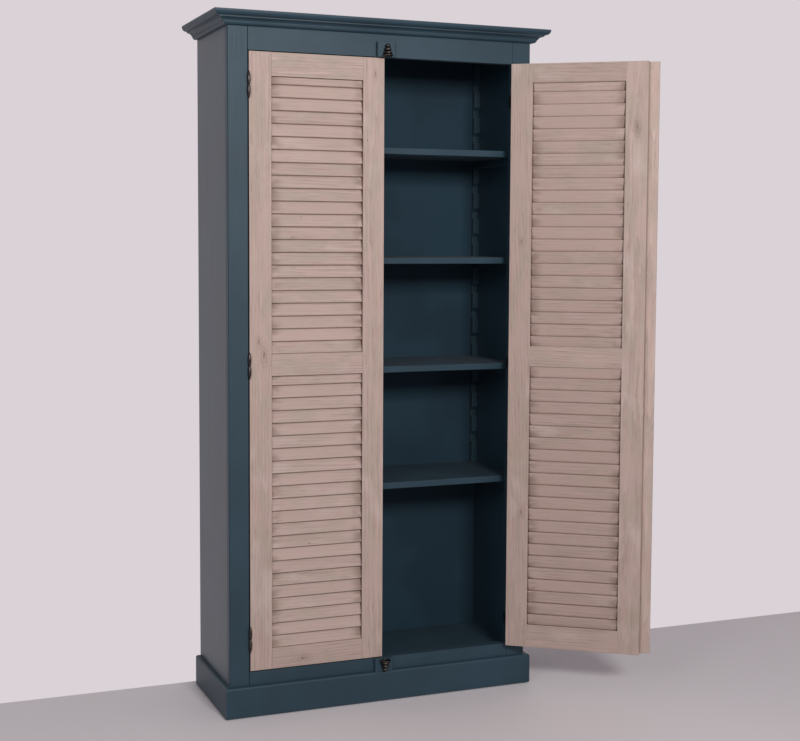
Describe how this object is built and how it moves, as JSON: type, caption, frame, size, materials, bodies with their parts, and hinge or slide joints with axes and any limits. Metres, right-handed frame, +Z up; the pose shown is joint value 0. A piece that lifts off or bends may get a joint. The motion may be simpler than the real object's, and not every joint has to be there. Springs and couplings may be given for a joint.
{
  "type": "louvred door cabinet",
  "caption": "Tall painted cabinet with two inset louvred doors, a cremone bolt, moulded cornice and plinth, and shelves hung in notched racks.",
  "frame": {"origin": "on the floor, under the middle front glide: middle of the width, in the plane of the face frame's front", "axes": "+X to the cabinet's right as seen from the front, +Y to the back, +Z up"},
  "size_m": [1.2265, 0.5845, 1.9],
  "materials": {
    "painted_wood": "satin paint, dark petrol blue",
    "washed_oak": "pale washed oak, matt",
    "dark_bronze": "dark bronze patina, satin",
    "nylon": "black nylon",
    "felt_rubber": "soft, matt",
    "catch_plastic": "brown, satin",
    "zinc_steel": "zinc plated"
  },
  "bodies": {
    "carcass": {"left_side_panel": "painted_wood", "right_side_panel": "painted_wood", "top_panel": "painted_wood", "bottom_panel": "painted_wood", "back_panel": "painted_wood", "left_frame_stile": "painted_wood", "right_frame_stile": "painted_wood", "frame_top_rail": "painted_wood", "frame_bottom_rail": "painted_wood", "top_keeper_block": "painted_wood", "bottom_keeper_block": "painted_wood", "cornice_front": "painted_wood", "cornice_left": "painted_wood", "cornice_right": "painted_wood", "cornice_top_board": "painted_wood", "plinth_front": "painted_wood", "plinth_left": "painted_wood", "plinth_right": "painted_wood", "plinth_back": "painted_wood", "door_stop_batten": "painted_wood", "fixed_shelf": "painted_wood", "lower_shelf": "painted_wood", "middle_shelf": "painted_wood", "upper_shelf": "painted_wood", "front_shelf_racks": "painted_wood", "back_shelf_racks": "painted_wood", "shelf_cleats": "painted_wood", "fixed_shelf_battens": "painted_wood", "floor_glides": "nylon", "door_bumpers": "felt_rubber", "left_door_catch": "catch_plastic", "rod_keepers": "dark_bronze", "left_frame_hinge_leaves": "dark_bronze", "right_frame_hinge_leaves": "dark_bronze"},
    "left_door": {"left_door_hinge_stile": "washed_oak", "left_door_meeting_stile": "washed_oak", "left_door_top_rail": "washed_oak", "left_door_mid_rail": "washed_oak", "left_door_bottom_rail": "washed_oak", "left_door_upper_slats": "washed_oak", "left_door_lower_slats": "washed_oak", "left_door_hinge_leaves": "dark_bronze", "catch_strike": "zinc_steel"},
    "right_door": {"right_door_hinge_stile": "washed_oak", "right_door_meeting_stile": "washed_oak", "right_door_top_rail": "washed_oak", "right_door_mid_rail": "washed_oak", "right_door_bottom_rail": "washed_oak", "right_door_upper_slats": "washed_oak", "right_door_lower_slats": "washed_oak", "right_door_hinge_leaves": "dark_bronze", "astragal": "washed_oak", "cremone_case": "dark_bronze", "rod_guides": "dark_bronze"},
    "knob": {"cremone_knob": "dark_bronze"},
    "upper_rod": {"upper_rod": "dark_bronze"},
    "lower_rod": {"lower_rod": "dark_bronze"}
  },
  "joints": [
    {"name": "left_door_hinge", "type": "hinge", "parent": "carcass", "child": "left_door", "pos_m": [-0.38775, -0.005, 0.9625], "axis": [0, 0, -1], "range_deg": [0, 180]},
    {"name": "right_door_hinge", "type": "hinge", "parent": "carcass", "child": "right_door", "pos_m": [0.38775, -0.005, 0.9625], "axis": [0, 0, 1], "range_deg": [-143.5, 36.5]},
    {"name": "knob_turn", "type": "hinge", "parent": "right_door", "child": "knob", "pos_m": [0.71669, -0.21233, 0.962], "axis": [0.5948, 0.8039, 0], "range_deg": [0, 100]},
    {"name": "upper_rod_slide", "type": "slide", "parent": "right_door", "child": "upper_rod", "axis": [0, 0, 1], "range_m": [0, 0.01745]},
    {"name": "lower_rod_slide", "type": "slide", "parent": "right_door", "child": "lower_rod", "axis": [0, 0, -1], "range_m": [0, 0.0175]}
  ],
  "couplings": [
    {"joint": "knob_turn", "follows": "upper_rod_slide", "rad_per_m": 100},
    {"joint": "lower_rod_slide", "follows": "upper_rod_slide", "ratio": 1}
  ]
}
